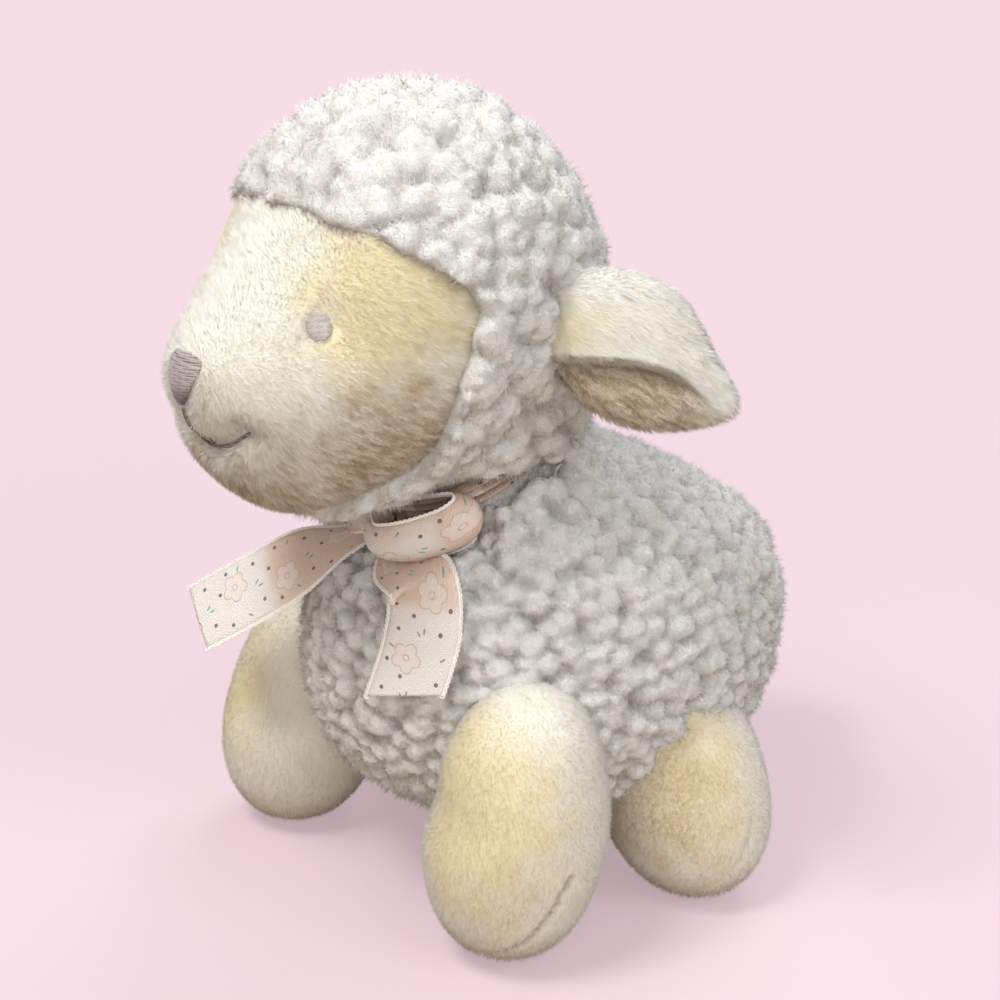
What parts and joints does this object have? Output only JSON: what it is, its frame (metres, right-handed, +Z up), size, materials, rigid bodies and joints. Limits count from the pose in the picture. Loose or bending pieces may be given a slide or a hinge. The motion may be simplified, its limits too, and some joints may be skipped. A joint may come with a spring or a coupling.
{
  "type": "plush sheep",
  "caption": "Stuffed lamb on four stubby legs, with a curly fleece hood and body, a smooth face and hanging ears, and a printed ribbon bow at the neck.",
  "frame": {"origin": "on the floor, under the middle of the bounding box", "axes": "+Z up, -Y the way the toy faces, +X its own left"},
  "size_m": [0.1338, 0.1682, 0.1915],
  "materials": {
    "fleece": "curly pile",
    "velour": "short nap",
    "filling": "loose fibre",
    "thread": "satin stitch",
    "ribbon": "satin"
  },
  "bodies": {
    "torso": {"torso_cover": "fleece", "torso_stuffing": "filling", "neck_ribbon": "ribbon", "bow_knot": "ribbon", "bow_loop_left": "ribbon", "bow_loop_right": "ribbon"},
    "tail": {"tail_cover": "fleece", "tail_stuffing": "filling"},
    "neck": {"neck_stuffing": "filling"},
    "head": {"head_hood": "fleece", "face_panel": "velour", "head_stuffing": "filling", "eye_left": "thread", "eye_right": "thread", "nose_embroidery": "thread", "philtrum_stitches": "thread", "mouth_stitches": "thread"},
    "ear_left": {"ear_left_inner_panel": "velour", "ear_left_outer_panel": "velour", "ear_left_padding": "filling"},
    "ear_right": {"ear_right_inner_panel": "velour", "ear_right_outer_panel": "velour", "ear_right_padding": "filling"},
    "bow_tail_left": {"bow_tail_left": "ribbon"},
    "bow_tail_right": {"bow_tail_right": "ribbon"},
    "leg_front_left": {"leg_front_left_cover": "velour", "leg_front_left_stuffing": "filling"},
    "leg_front_right": {"leg_front_right_cover": "velour", "leg_front_right_stuffing": "filling"},
    "leg_hind_left": {"leg_hind_left_cover": "velour", "leg_hind_left_stuffing": "filling"},
    "leg_hind_right": {"leg_hind_right_cover": "velour", "leg_hind_right_stuffing": "filling"}
  },
  "joints": [
    {"name": "head_turn", "type": "hinge", "parent": "torso", "child": "neck", "pos_m": [0, -0.01224, 0.11], "axis": [0, -0.5, 0.866], "range_deg": [-20, 20], "stiffness_Nm_per_rad": 0.8},
    {"name": "head_nod", "type": "hinge", "parent": "neck", "child": "head", "pos_m": [0, -0.01224, 0.11], "axis": [1, 0, 0], "range_deg": [-12, 3], "stiffness_Nm_per_rad": 0.8},
    {"name": "ear_left_flap", "type": "hinge", "parent": "head", "child": "ear_left", "pos_m": [0.036, -0.01024, 0.1465], "axis": [0.1465, 0.5432, 0.8267], "range_deg": [-12, 12], "stiffness_Nm_per_rad": 0.03},
    {"name": "ear_right_flap", "type": "hinge", "parent": "head", "child": "ear_right", "pos_m": [-0.036, -0.01024, 0.1465], "axis": [0.1465, -0.5432, -0.8267], "range_deg": [-12, 12], "stiffness_Nm_per_rad": 0.03},
    {"name": "tail_flop", "type": "hinge", "parent": "torso", "child": "tail", "pos_m": [0, 0.07266, 0.07124], "axis": [1, 0, 0], "range_deg": [-10, 10], "stiffness_Nm_per_rad": 0.02},
    {"name": "bow_tail_left_swing", "type": "hinge", "parent": "torso", "child": "bow_tail_left", "pos_m": [0.0042, -0.03338, 0.0904], "axis": [0, -0.5, 0.866], "range_deg": [-20, 0], "stiffness_Nm_per_rad": 0.002},
    {"name": "bow_tail_right_swing", "type": "hinge", "parent": "torso", "child": "bow_tail_right", "pos_m": [-0.00424, -0.03338, 0.0904], "axis": [0, -0.5, 0.866], "range_deg": [-5, 12], "stiffness_Nm_per_rad": 0.002},
    {"name": "leg_front_left_swing", "type": "hinge", "parent": "torso", "child": "leg_front_left", "pos_m": [0.04086, -0.02497, 0.04756], "axis": [1, 0, 0], "range_deg": [-10, 10], "stiffness_Nm_per_rad": 0.2},
    {"name": "leg_front_right_swing", "type": "hinge", "parent": "torso", "child": "leg_front_right", "pos_m": [-0.04078, -0.0251, 0.04615], "axis": [1, 0, 0], "range_deg": [-10, 10], "stiffness_Nm_per_rad": 0.2},
    {"name": "leg_hind_left_swing", "type": "hinge", "parent": "torso", "child": "leg_hind_left", "pos_m": [0.03084, 0.0211, 0.04219], "axis": [1, 0, 0], "range_deg": [-10, 10], "stiffness_Nm_per_rad": 0.2},
    {"name": "leg_hind_right_swing", "type": "hinge", "parent": "torso", "child": "leg_hind_right", "pos_m": [-0.03084, 0.0211, 0.04219], "axis": [1, 0, 0], "range_deg": [-10, 10], "stiffness_Nm_per_rad": 0.2}
  ]
}
